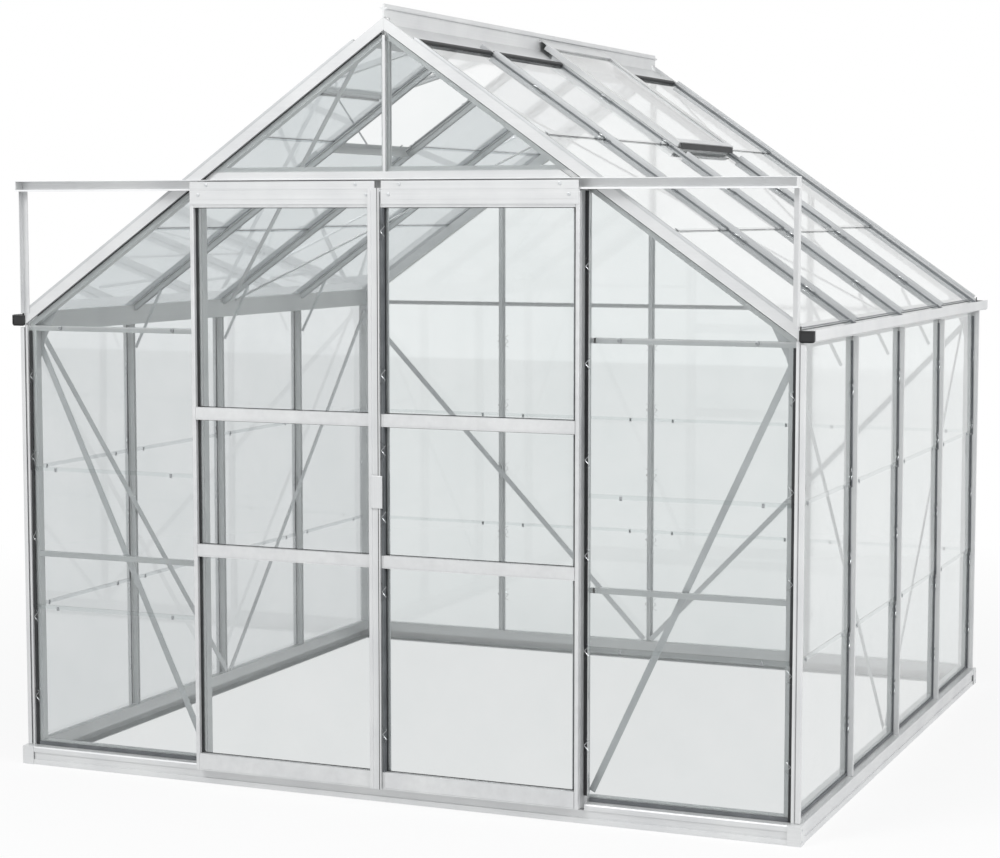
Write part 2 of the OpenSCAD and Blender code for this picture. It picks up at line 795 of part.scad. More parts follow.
// Plate in each gable corner, between the corner post and the rafter
module gusset_plates() color(alu) both_ends() both_sides()
    translate([0, seat_y - tube - joint, 0]) rotate([90, 0, 0]) linear_extrude(skin) {
        x = seat_x - 2;
        top = roof_z(x, -4);
        polygon([
            [x, top], [x, top - 130], [x - 22, top - 130], [x - 40, top - 70], [x - 90, roof_z(x - 90, -30)],
            [x - 90, roof_z(x - 90, -4)]
        ]);
    }

base_front();
base_rear();
base_left();
base_right();
base_corner_plates();
front_sills();
rear_sill();
side_sills();
corner_posts();
door_posts();
side_wall_bars();
rear_wall_bars();
left_gutter();
right_gutter();
gutter_end_caps();
front_rafters();
rear_rafters();
gable_mullion();
door_head_beam();
front_cross_bars();
rear_cross_bars();
front_half_ridge();
rear_half_ridge();
left_roof_bars();
right_roof_bars();
left_vent_frame();
right_vent_frame();
vent_glass();
vent_stays();
vent_sills();
door_track();
track_struts();
left_wall_glass();
right_wall_glass();
rear_wall_glass();
front_wall_glass();
gable_glass();
left_roof_glass();
right_roof_glass();
wall_braces();
roof_braces();
knee_braces();
gusset_plates();
left_door_frame();
left_door_head();
left_door_glass();
left_door_rollers();
left_door_handle();
meeting_strip();
right_door_frame();
right_door_head();
right_door_glass();
right_door_rollers();
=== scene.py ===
# Aluminium and glass greenhouse: finishes, glazing strips, clips, bolts, light and camera.
import math
import bpy
from mathutils import Matrix, Vector


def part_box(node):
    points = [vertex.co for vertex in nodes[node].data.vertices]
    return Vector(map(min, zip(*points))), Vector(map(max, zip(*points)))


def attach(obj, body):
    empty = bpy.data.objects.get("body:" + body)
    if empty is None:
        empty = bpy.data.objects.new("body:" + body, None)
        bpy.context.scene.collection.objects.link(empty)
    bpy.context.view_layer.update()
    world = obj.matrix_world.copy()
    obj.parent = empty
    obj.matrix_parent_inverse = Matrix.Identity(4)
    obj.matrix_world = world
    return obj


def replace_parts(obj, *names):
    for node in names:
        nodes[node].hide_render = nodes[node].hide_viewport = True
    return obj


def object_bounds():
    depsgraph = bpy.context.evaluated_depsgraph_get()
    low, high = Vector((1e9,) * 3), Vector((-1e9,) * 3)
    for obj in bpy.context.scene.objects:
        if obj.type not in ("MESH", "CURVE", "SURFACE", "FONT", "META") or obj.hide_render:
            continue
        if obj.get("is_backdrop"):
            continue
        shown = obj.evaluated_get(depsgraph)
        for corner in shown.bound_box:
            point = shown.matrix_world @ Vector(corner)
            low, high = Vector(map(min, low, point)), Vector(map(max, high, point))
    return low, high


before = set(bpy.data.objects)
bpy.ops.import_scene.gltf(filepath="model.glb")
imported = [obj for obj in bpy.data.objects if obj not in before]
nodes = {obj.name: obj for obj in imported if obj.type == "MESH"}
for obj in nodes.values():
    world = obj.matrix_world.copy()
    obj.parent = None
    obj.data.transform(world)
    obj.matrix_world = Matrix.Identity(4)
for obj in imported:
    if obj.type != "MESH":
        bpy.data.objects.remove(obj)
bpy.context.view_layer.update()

# ---- Sizes of the house, in metres, read from the frame ----
STEM = 0.014          # from the glass seat to the outer face of posts, rafters and door posts
STAND = 0.0235        # from the glass seat to the tip of a drawn glazing bar
GLASS = 0.003
ON_GLASS = GLASS + 0.0004     # just clear of a pane's outer face
LEAN = 0.0035         # how far a pane stands out over the one below
OVER_GLASS = GLASS + LEAN + 0.0007
HAIR = 0.0002         # what lies on a metal face stands this far off it
BAYS = 4
PANES = 3             # lapped one over the other up each bay
LAP = 0.012
ROOF_SEAT_UP = 0.049  # the roof's seat, above the gutter's underside
RIDGE_FIN = 0.039     # the ridge's top, above the roof plane

post_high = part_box("corner_posts")[1]
OUT_X, OUT_Y = post_high.x, post_high.y
SEAT_X, SEAT_Y = OUT_X - STEM, OUT_Y - STEM
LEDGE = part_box("front_wall_glass")[0].z
SEAT_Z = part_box("left_gutter")[0].z + ROOF_SEAT_UP
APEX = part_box("front_half_ridge")[1].z - RIDGE_FIN
# the slope that takes the glass seat from the eaves to the ridge, found by repeating a near guess
pitch = math.radians(35)
for _ in range(20):
    pitch = math.atan((APEX - STEM / math.cos(pitch) - SEAT_Z) / SEAT_X)
SLOPE = SEAT_X / math.cos(pitch)
BAY = 2 * OUT_Y / BAYS
BAR_YS = [-OUT_Y + i * BAY for i in range(1, BAYS)]
WALL_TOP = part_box("left_wall_glass")[1].z
CROSS_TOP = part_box("front_cross_bars")[1].z
DOOR_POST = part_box("door_posts")[1].x - 0.014    # its outer side, without the flange behind the glass
BASE_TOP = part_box("base_front")[1].z
# where the glass ends along a wall and along a roof slope
PANE_FOOT, PANE_HEAD = LEDGE + 0.001, WALL_TOP - 0.009
EAVES = -0.010
ROOF_TOP = SLOPE - 0.078
RIDGE_FOOT = SLOPE - 0.107    # lower edge of the ridge's seat
VENT_FOOT = SLOPE - 0.640     # just below a vent's foot rail
ENDS = [-SEAT_Y + 0.005, *BAR_YS, SEAT_Y - 0.005]


# ---- Faces of the house: each turns (along, up, out) into a place and a direction ----
class Face:
    def __init__(self, along, up, out, origin):
        self.along, self.up, self.out = Vector(along), Vector(up), Vector(out)
        self.origin = Vector(origin)
        # the turn that lays a piece drawn flat (x along, y up, z out) on this face, never mirrored
        right = self.up.cross(self.out)
        self.turn = Matrix((right, self.up, self.out)).transposed()

    def at(self, a, u, o):
        return self.origin + self.along * a + self.up * u + self.out * o

    def place(self, a, u, o, spin=0.0):
        turn = self.turn @ Matrix.Rotation(spin, 3, "Z")
        return Matrix.Translation(self.at(a, u, o)) @ turn.to_4x4()


c, s = math.cos(pitch), math.sin(pitch)
FACES = {
    "right_wall": Face((0, 1, 0), (0, 0, 1), (1, 0, 0), (SEAT_X, 0, 0)),
    "left_wall": Face((0, 1, 0), (0, 0, 1), (-1, 0, 0), (-SEAT_X, 0, 0)),
    "rear_wall": Face((1, 0, 0), (0, 0, 1), (0, 1, 0), (0, SEAT_Y, 0)),
    "front_wall": Face((1, 0, 0), (0, 0, 1), (0, -1, 0), (0, -SEAT_Y, 0)),
    "right_roof": Face((0, 1, 0), (-c, 0, s), (s, 0, c), (SEAT_X, 0, SEAT_Z)),
    "left_roof": Face((0, 1, 0), (c, 0, s), (-s, 0, c), (-SEAT_X, 0, SEAT_Z)),
}


# ---- Materials ----
def lin(code):
    """sRGB hex to linear colour"""
    parts = [int(code[i:i + 2], 16) / 255 for i in (1, 3, 5)]
    return (*[v / 12.92 if v <= 0.04045 else ((v + 0.055) / 1.055) ** 2.4 for v in parts], 1)


def add(tree, kind, links=None, stops=None, **settings):
    """a node with its settings, its inputs linked or set, and a ramp's stops of (place, colour)"""
    n = tree.nodes.new(kind)
    for k, v in settings.items():
        setattr(n, k, v)
    for k, v in (links or {}).items():
        if isinstance(v, bpy.types.NodeSocket):
            tree.links.new(v, n.inputs[k])
        else:
            n.inputs[k].default_value = v
    for i, (place, colour) in enumerate(stops or []):
        if i >= len(n.color_ramp.elements):
            n.color_ramp.elements.new(place)
        n.color_ramp.elements[i].position, n.color_ramp.elements[i].color = place, lin(colour)
    return n


def new_material(name):
    m = bpy.data.materials.new(name)
    m.use_nodes = True
    m.node_tree.nodes.clear()
    return m, m.node_tree


def extruded_aluminium(name, pale, dull, grain, rough, metal=0.35, tilt=0.0):
    """Mill-finish aluminium, extruded: satin grey-white, with faint die lines along each length and soft
    cloudy patches where the oxide is thicker."""
    m, t = new_material(name)
    where = add(t, "ShaderNodeTexCoord").outputs["Object"]
    lines = add(t, "ShaderNodeMapping", {"Vector": where, "Rotation": (0, tilt, 0), "Scale": grain},
                vector_type="TEXTURE")
    die = add(t, "ShaderNodeTexNoise", {"Vector": lines.outputs[0], "Scale": 1.0, "Detail": 3.0,
                                        "Roughness": 0.6})
    cloud = add(t, "ShaderNodeTexNoise", {"Vector": where, "Scale": 1000 / 180, "Detail": 4.0,
                                          "Roughness": 0.55})
    patch = add(t, "ShaderNodeValToRGB", {"Fac": cloud.outputs["Fac"]}, [(0.3, dull), (0.65, pale)])
    streak = add(t, "ShaderNodeValToRGB", {"Fac": die.outputs["Fac"]}, [(0.3, "#E4E4E4"), (0.7, "#FFFFFF")])
    colour = add(t, "ShaderNodeMix", {"Factor": 0.35, 6: patch.outputs[0], 7: streak.outputs[0]},
                 data_type="RGBA", blend_type="MULTIPLY")
    sheen = add(t, "ShaderNodeMapRange", {"Value": die.outputs["Fac"], "From Min": 0.3, "From Max": 0.7,
                                          "To Min": rough - 0.04, "To Max": rough + 0.06})
    bump = add(t, "ShaderNodeBump", {"Height": die.outputs["Fac"], "Strength": 0.07, "Distance": 0.0004})
    skin = add(t, "ShaderNodeBsdfPrincipled", {
        "Base Color": colour.outputs[2], "Metallic": metal, "Roughness": sheen.outputs[0],
        "Normal": bump.outputs[0]})
    add(t, "ShaderNodeOutputMaterial", {"Surface": skin.outputs[0]})
    return m


def float_glass(name, tint, dusty, ior=1.45):
    """Clear horticultural float glass: sharp pale reflections, a faint grey body colour and a breath of dust
    that softens it."""
    m, t = new_material(name)
    where = add(t, "ShaderNodeTexCoord").outputs["Object"]
    dust = add(t, "ShaderNodeTexNoise", {"Vector": where, "Scale": 1000 / 240, "Detail": 5.0,
                                         "Roughness": 0.6})
    body = add(t, "ShaderNodeValToRGB", {"Fac": dust.outputs["Fac"]}, [(0.25, dusty), (0.75, tint)])
    wave = add(t, "ShaderNodeTexNoise", {"Vector": where, "Scale": 1000 / 400, "Detail": 1.0})
    bump = add(t, "ShaderNodeBump", {"Height": wave.outputs["Fac"], "Strength": 0.05, "Distance": 0.0005})
    pane = add(t, "ShaderNodeBsdfPrincipled", {
        "Base Color": body.outputs[0], "Roughness": 0.02, "IOR": ior, "Transmission Weight": 1.0,
        "Normal": bump.outputs[0]})
    # lamps reach the inside of the house through the panes, a little dimmed
    ray = add(t, "ShaderNodeLightPath")
    through = add(t, "ShaderNodeBsdfTransparent", {"Color": lin("#D6D8D8")})
    lamp = add(t, "ShaderNodeMath", {0: ray.outputs["Is Shadow Ray"], 1: ray.outputs["Is Diffuse Ray"]},
               operation="MAXIMUM")
    mix = add(t, "ShaderNodeMixShader", {"Fac": lamp.outputs[0], 1: pane.outputs[0], 2: through.outputs[0]})
    add(t, "ShaderNodeOutputMaterial", {"Surface": mix.outputs[0]})
    return m


def moulded(name, colour, worn, rough, grain_mm, bump_mm):
    """Rubber or plastic: one deep colour, a fine moulded grain and a slightly greyer bloom in patches."""
    m, t = new_material(name)
    where = add(t, "ShaderNodeTexCoord").outputs["Object"]
    grain = add(t, "ShaderNodeTexNoise", {"Vector": where, "Scale": 1000 / grain_mm, "Detail": 2.0})
    bloom = add(t, "ShaderNodeTexNoise", {"Vector": where, "Scale": 1000 / 60, "Detail": 3.0})
    tone = add(t, "ShaderNodeValToRGB", {"Fac": bloom.outputs["Fac"]}, [(0.35, colour), (0.8, worn)])
    bump = add(t, "ShaderNodeBump", {"Height": grain.outputs["Fac"], "Strength": 0.3,
                                     "Distance": bump_mm / 1000})
    skin = add(t, "ShaderNodeBsdfPrincipled", {
        "Base Color": tone.outputs[0], "Roughness": rough, "Normal": bump.outputs[0]})
    add(t, "ShaderNodeOutputMaterial", {"Surface": skin.outputs[0]})
    return m


def bright_steel(name, pale, dull, rough, metal):
    """Zinc-plated or spring steel: brighter and cooler than the aluminium, with a fine drawn mottling."""
    m, t = new_material(name)
    where = add(t, "ShaderNodeTexCoord").outputs["Object"]
    spangle = add(t, "ShaderNodeTexNoise", {"Vector": where, "Scale": 1000 / 3, "Detail": 2.0})
    tone = add(t, "ShaderNodeValToRGB", {"Fac": spangle.outputs["Fac"]}, [(0.35, dull), (0.65, pale)])
    skin = add(t, "ShaderNodeBsdfPrincipled", {
        "Base Color": tone.outputs[0], "Metallic": metal, "Roughness": rough})
    add(t, "ShaderNodeOutputMaterial", {"Surface": skin.outputs[0]})
    return m


# die lines: about 1.5 mm apart across a length, and they run on for most of a metre along it
ACROSS, ALONG = 0.0015, 0.7
WIDE_GRAIN, DEEP_GRAIN, TALL_GRAIN = (ALONG, ACROSS, ACROSS), (ACROSS, ALONG, ACROSS), (ACROSS, ACROSS, ALONG)
# door frames and rolled strips run both ways, so their grain is even
SATIN_GRAIN, ROLLED_GRAIN = (0.03, 0.03, 0.03), (0.004, 0.004, 0.004)
PALE, DULL = "#DEDFDF", "#D4D5D6"
# painted shade: the roof slopes' bars and cappings take a darker copy of the same aluminium
SHADED_SLOPE_PALE, SHADED_SLOPE_DULL = "#C9CBCC", "#BBBDBE"
ALU = {
    "x": extruded_aluminium("mill_aluminium_extruded_wide", PALE, DULL, WIDE_GRAIN, 0.4),
    "y": extruded_aluminium("mill_aluminium_extruded_deep", PALE, DULL, DEEP_GRAIN, 0.4),
    "z": extruded_aluminium("mill_aluminium_extruded_upright", PALE, DULL, TALL_GRAIN, 0.4),
    "right": extruded_aluminium("mill_aluminium_extruded_right_slope_shaded", SHADED_SLOPE_PALE, SHADED_SLOPE_DULL, WIDE_GRAIN,
                                0.4, tilt=pitch),
    "left": extruded_aluminium("mill_aluminium_extruded_left_slope_shaded", SHADED_SLOPE_PALE, SHADED_SLOPE_DULL, WIDE_GRAIN,
                               0.4, tilt=-pitch),
    "frame": extruded_aluminium("mill_aluminium_extruded_satin", PALE, DULL, SATIN_GRAIN, 0.4),
    # painted light: the track is a lighter copy of the aluminium, which lifts the shade in its open channel
    "track": extruded_aluminium("mill_aluminium_extruded_painted_light", "#F4F5F5", "#EAEBEC", WIDE_GRAIN, 0.4),
    "flat": extruded_aluminium("mill_aluminium_rolled_strip", "#D0D2D3", "#C4C6C8", ROLLED_GRAIN, 0.32,
                               metal=0.6),
}
SCREW_STEEL = bright_steel("zinc_plated_steel_passivated", "#D8DADB", "#C2C5C7", 0.36, 0.5)
ZINC = bright_steel("zinc_plated_steel_pressed", "#AEB1B3", "#8E9194", 0.34, 0.8)
WIRE = bright_steel("spring_steel_wire_drawn", "#D8DADB", "#B4B7B9", 0.22, 0.9)
RUBBER = moulded("epdm_rubber_extruded", "#1B1C1E", "#2B2D2F", 0.6, 1.2, 0.05)
# painted light: grey and pale copies of the same black EPDM, for strips that look lighter where they lie
LIT_RUBBER = moulded("epdm_rubber_extruded_lit_grey", "#5A5D60", "#707376", 0.6, 1.2, 0.05)
LIT_RUBBER_PALE = moulded("epdm_rubber_extruded_lit_pale", "#7C7F82", "#8E9194", 0.6, 1.2, 0.05)
PLASTIC = moulded("polypropylene_black_moulded", "#141516", "#222426", 0.45, 0.8, 0.08)
GLASS_CLEAR = float_glass("float_glass_clear", "#F5F7F7", "#F0F3F3")
# painted light: a brighter copy of the glass, with a higher IOR that reflects more of the white sky, on the
# right roof and the vents
GLASS_LIT = float_glass("float_glass_clear_painted_light", "#F9FAFA", "#F5F7F7", ior=1.8)
# painted shade: greyer copies of the same glass on the left wall and the left roof
GLASS_SHADED_WALL = float_glass("float_glass_clear_painted_shade_wall", "#EBECED", "#E5E7E8")
GLASS_SHADED_ROOF = float_glass("float_glass_clear_painted_shade_roof", "#E2E5E7", "#DCDFE1")

# the finish of each CAD node; what isn't named here is clear glass if its name holds glass, black plastic if
# it holds rollers, and otherwise upright aluminium
FINISH = {
    "left_wall_glass": GLASS_SHADED_WALL, "left_roof_glass": GLASS_SHADED_ROOF, "right_roof_glass": GLASS_LIT,
    "vent_glass": GLASS_LIT, "gutter_end_caps": PLASTIC, "vent_stays": ZINC, "door_track": ALU["track"],
    "left_door_frame": ALU["frame"], "right_door_frame": ALU["frame"],
    "left_roof_bars": ALU["left"], "right_roof_bars": ALU["right"],
    **dict.fromkeys(["base_front", "base_rear", "base_corner_plates", "front_sills", "rear_sill",
                     "front_rafters", "rear_rafters", "door_head_beam", "front_cross_bars",
                     "rear_cross_bars", "left_door_head", "right_door_head"], ALU["x"]),
    **dict.fromkeys(["base_left", "base_right", "side_sills", "left_gutter", "right_gutter",
                     "front_half_ridge", "rear_half_ridge", "vent_sills", "left_vent_frame",
                     "right_vent_frame"], ALU["y"]),
    **dict.fromkeys(["wall_braces", "roof_braces", "knee_braces", "gusset_plates"], ALU["flat"]),
}
for name, piece in nodes.items():
    plain = GLASS_CLEAR if "glass" in name else PLASTIC if "rollers" in name else ALU["z"]
    piece.data.materials.clear()
    piece.data.materials.append(FINISH.get(name, plain))


# ---- Making pieces ----
def begin_edit(obj):
    bpy.ops.object.select_all(action="DESELECT")
    obj.select_set(True)
    bpy.context.view_layer.objects.active = obj
    bpy.ops.object.mode_set(mode="EDIT")
    bpy.ops.mesh.select_all(action="DESELECT")
    bpy.ops.object.mode_set(mode="OBJECT")


def pick(obj, edges=None, faces=None):
    """edges whose two ends, or faces whose middle and normal, pass a test are selected, in edit mode"""
    bpy.ops.object.mode_set(mode="OBJECT")
    mesh = obj.data
    for group in (mesh.vertices, mesh.edges, mesh.polygons):
        group.foreach_set("select", [False] * len(group))
    if edges:
        for e in mesh.edges:
            e.select = all(edges(mesh.vertices[v].co) for v in e.vertices)
    if faces:
        for f in mesh.polygons:
            f.select = faces(f.center, f.normal)
    bpy.ops.object.mode_set(mode="EDIT")
    bpy.ops.mesh.select_mode(type="EDGE" if edges else "FACE")


def end_edit(smooth=40):
    bpy.ops.mesh.select_all(action="SELECT")
    bpy.ops.mesh.normals_make_consistent(inside=False)
    bpy.ops.object.mode_set(mode="OBJECT")
    bpy.ops.object.shade_smooth_by_angle(angle=math.radians(smooth))


def extrude(x, y, z):
    bpy.ops.mesh.extrude_region_move(TRANSFORM_OT_translate={"value": (x, y, z)})


def score(places):
    """the bar in edit mode cut lengthwise at each x, so that a strip of it can be picked"""
    for x in places:
        bpy.ops.object.mode_set(mode="EDIT")
        bpy.ops.mesh.select_all(action="SELECT")
        bpy.ops.mesh.bisect(plane_co=(x, 0, 0), plane_no=(1, 0, 0))


def block(width, height, length=1.0, z=0.0):
    """a straight bar along y from 0, its foot on z, ready for edit mode"""
    bpy.ops.object.select_all(action="DESELECT")
    bpy.ops.mesh.primitive_cube_add(size=1, location=(0, length / 2, z + height / 2),
                                    scale=(width, length, height))
    obj = bpy.context.active_object
    bpy.ops.object.transform_apply(location=True, rotation=True, scale=True)
    begin_edit(obj)
    return obj


PARTS = {}


def strip_part(width, height):
    """a rubber bead or a metal flat, one metre long, its outer edges eased"""
    key = ("strip", width, height)
    if key not in PARTS:
        obj = block(width, height)
        pick(obj, edges=lambda v: v.z > height * 0.9 and abs(abs(v.x) - width / 2) < 1e-5)
        bpy.ops.mesh.bevel(offset=min(width, height) * 0.28, segments=1, affect="EDGES")
        end_edit()
        PARTS[key] = obj
    return PARTS[key]


def capping_part(width, height):
    """a snap-on capping, one metre long: a channel open towards the glass, its outer edges rounded"""
    key = ("capping", width, height)
    if key not in PARTS:
        obj = block(width, height)
        pick(obj, faces=lambda c, n: n.z < -0.9)
        bpy.ops.mesh.inset(thickness=0.0012)
        extrude(0, 0, height - 0.0014)
        pick(obj, edges=lambda v: v.z > height * 0.98 and abs(abs(v.x) - width / 2) < 1e-5)
        bpy.ops.mesh.bevel(offset=0.001, segments=2, affect="EDGES")
        end_edit()
        PARTS[key] = obj
    return PARTS[key]


def glazing_bar_part():
    """a wall or roof bar, one metre long, its seat at z = 0: a stem that stands out between the panes, a
    flange that they lie on, and a shallow channel inside the house"""
    if "bar" not in PARTS:
        obj = block(0.026, 0.002, z=-0.002)
        score((-0.0075, -0.005, 0.005, 0.0075))
        pick(obj, faces=lambda c, n: n.z > 0.9 and abs(c.x) < 0.005)
        extrude(0, 0, STAND)
        pick(obj, faces=lambda c, n: n.z < -0.9 and abs(c.x) < 0.0075)
        extrude(0, 0, -0.016)
        pick(obj, faces=lambda c, n: n.z < -0.9 and abs(c.x) < 0.005 and c.z < -0.01)
        extrude(0, 0, 0.003)
        pick(obj, edges=lambda v: v.z > STAND - 0.001)
        bpy.ops.mesh.bevel(offset=0.0012, segments=2, affect="EDGES")
        end_edit()
        PARTS["bar"] = obj
    return PARTS["bar"]


def bar_part_low():
    """the same bar where a vent or the ridge lies over it, its stem cut down under them"""
    if "low bar" not in PARTS:
        obj = glazing_bar_part().copy()
        obj.data = obj.data.copy()
        bpy.context.scene.collection.objects.link(obj)
        begin_edit(obj)
        bpy.ops.object.mode_set(mode="EDIT")
        bpy.ops.mesh.select_all(action="SELECT")
        bpy.ops.mesh.bisect(plane_co=(0, 0, STEM - 0.0005), plane_no=(0, 0, 1), clear_outer=True,
                            use_fill=True)
        end_edit()
        PARTS["low bar"] = obj
    return PARTS["low bar"]


def door_post_part():
    """a door jamb, one metre long: a box whose front face has two shallow grooves"""
    if "post" not in PARTS:
        obj = block(0.026, 0.030)
        score((-0.008, -0.0055, 0.003, 0.0055))
        pick(obj, faces=lambda c, n: n.z > 0.9 and (abs(c.x + 0.00675) < 0.001 or abs(c.x - 0.00425) < 0.001))
        extrude(0, 0, -0.002)
        end_edit()
        PARTS["post"] = obj
    return PARTS["post"]


def base_part():
    """a base rail, one metre long, its lowest 17 mm standing 4 mm proud outside: a channel open to the
    inside"""
    obj = block(0.040, 0.0025, z=-0.0065)
    score((-0.0175, -0.0032, 0.0175))
    pick(obj, faces=lambda c, n: n.z > 0.9 and c.x < -0.0032)
    extrude(0, 0, 0.004)
    pick(obj, faces=lambda c, n: n.z < -0.9 and abs(c.x) > 0.0175)
    extrude(0, 0, -0.0395)
    pick(obj, edges=lambda v: (v.z > -0.0045 and abs(v.x) > 0.0199) or v.z > -0.0001)
    bpy.ops.mesh.bevel(offset=0.001, segments=2, affect="EDGES")
    end_edit()
    PARTS["base"] = obj
    return obj


def wire_clip():
    """W of 2.6 mm spring wire that presses the glass on its seat, 16 mm wide and 50 mm long"""
    path = [(-0.008, -0.025), (0.008, -0.015), (-0.006, 0.0), (0.008, 0.015), (-0.008, 0.025)]
    bpy.ops.object.select_all(action="DESELECT")
    bpy.ops.mesh.primitive_circle_add(vertices=6, radius=0.0013, fill_type="NGON",
                                      location=(path[0][0], path[0][1], 0), rotation=(math.pi / 2, 0, 0))
    obj = bpy.context.active_object
    bpy.ops.object.transform_apply(location=True, rotation=True, scale=True)
    begin_edit(obj)
    pick(obj, faces=lambda c, n: True)
    for (x0, y0), (x1, y1) in zip(path, path[1:]):
        extrude(x1 - x0, y1 - y0, 0)
    end_edit(60)
    return obj


def pan_screw(radius, height):
    """a round screw head, domed at its rim, with a pressed recess"""
    bpy.ops.object.select_all(action="DESELECT")
    bpy.ops.mesh.primitive_cylinder_add(vertices=12, radius=radius, depth=height, location=(0, 0, height / 2))
    obj = bpy.context.active_object
    bpy.ops.object.transform_apply(location=True, rotation=True, scale=True)
    begin_edit(obj)
    pick(obj, edges=lambda v: v.z > height * 0.9)
    bpy.ops.mesh.bevel(offset=height * 0.4, segments=2, affect="EDGES")
    pick(obj, faces=lambda c, n: n.z > 0.95 and c.z > height * 0.9)
    bpy.ops.mesh.inset(thickness=radius * 0.3)
    extrude(0, 0, -height * 0.4)
    end_edit(35)
    return obj


def lap_clip():
    """S of strip steel that holds an upper pane on the one below, seen as a small tab over the lap"""
    obj = block(0.008, 0.0016, 0.011)
    pick(obj, faces=lambda c, n: n.y < -0.9)
    extrude(0, -0.002, -0.002)
    pick(obj, edges=lambda v: v.z > 0.0014)
    bpy.ops.mesh.bevel(offset=0.0005, segments=1, affect="EDGES")
    end_edit()
    return obj


def stretch(part, start, end, out):
    """a one-metre part from one point to another, its top turned out"""
    run = end - start
    across = run.normalized().cross(out)
    turn = Matrix((across, run, out)).transposed().to_4x4()
    return part, Matrix.Translation(start) @ turn


def lay(part, face, start, end):
    """a one-metre part laid on a face from one (along, up, out) to another"""
    f = FACES[face]
    return stretch(part, f.at(*start), f.at(*end), f.out)


def pieces(items, name, material, body="house"):
    """copies of parts, each with its own mesh in place, joined as one piece that rides on a body"""
    made = []
    for part, m in items:
        one = part.copy()
        one.data = part.data.copy()
        one.data.transform(m)
        one.data.materials.clear()
        one.data.materials.append(material)
        bpy.context.scene.collection.objects.link(one)
        made.append(one)
    bpy.ops.object.select_all(action="DESELECT")
    for one in made:
        one.select_set(True)
    bpy.context.view_layer.objects.active = obj = made[0]
    if len(made) > 1:
        bpy.ops.object.join()
    obj.name = obj.data.name = name
    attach(obj, body)
    return obj


CLIP = wire_clip()
CLIP_STEP = 0.27
CLIP_END = 0.03       # the first and last clip's share of an edge starts this far in
LAP_CLIP = lap_clip()
LAP_CLIP_IN = 0.088
SCREW = pan_screw(0.005, 0.0022)
SMALL_SCREW = pan_screw(0.0032, 0.0016)
BOLT = pan_screw(0.0065, 0.005)
# from the middle of a bar, or a post's inner edge, to the middle of the bead and of the clip beside it
BEAD_IN = 0.0065
CLIP_IN = 0.016
POST_CLIP_IN = 0.011
# a post's or rafter's capping, and how far its middle lies in from the outer face
CAPPING = 0.012
CAPPING_IN = 0.0062
FLAT_BEAD = 0.0022    # height of the beads that lie along a pane's foot, and round a door's panes
CHANNEL_IN = 0.010    # those beads stop this far from a bay's edges


def rows(low, high):
    """each pane's foot and head, with how far its outer face stands off the seat at both"""
    step = (high - low - LAP) / PANES
    return [(low + i * step, low + (i + 1) * step, ON_GLASS + (0.0 if i == 0 else LEAN), ON_GLASS)
            for i in range(PANES)]


def beads(face, a, low, high, width=0.003, height=0.005):
    """rubber beads up one edge of a stack of panes, each following its pane"""
    part = strip_part(width, height)
    return [lay(part, face, (a, u0, o0), (a, u1, o1)) for u0, u1, o0, o1 in rows(low, high)]


def clips(face, a, low, high, side=1):
    """spring clips at even steps along one edge of the glass"""
    f = FACES[face]
    n = max(1, round((high - low) / CLIP_STEP))
    turn = 0 if side > 0 else math.pi
    return [(CLIP, f.place(a, low + (i + 0.5) * (high - low) / n, OVER_GLASS + 0.0025, turn))
            for i in range(n)]


def lap_clips(face, edges, low, high):
    """two clips at every lap of every bay"""
    f = FACES[face]
    made = []
    for u0, _, o0, _ in rows(low, high)[1:]:
        for left, right in zip(edges, edges[1:]):
            for a in (left + LAP_CLIP_IN, right - LAP_CLIP_IN):
                made.append((LAP_CLIP, f.place(a, u0 - 0.002, o0 + 0.0006)))
    return made


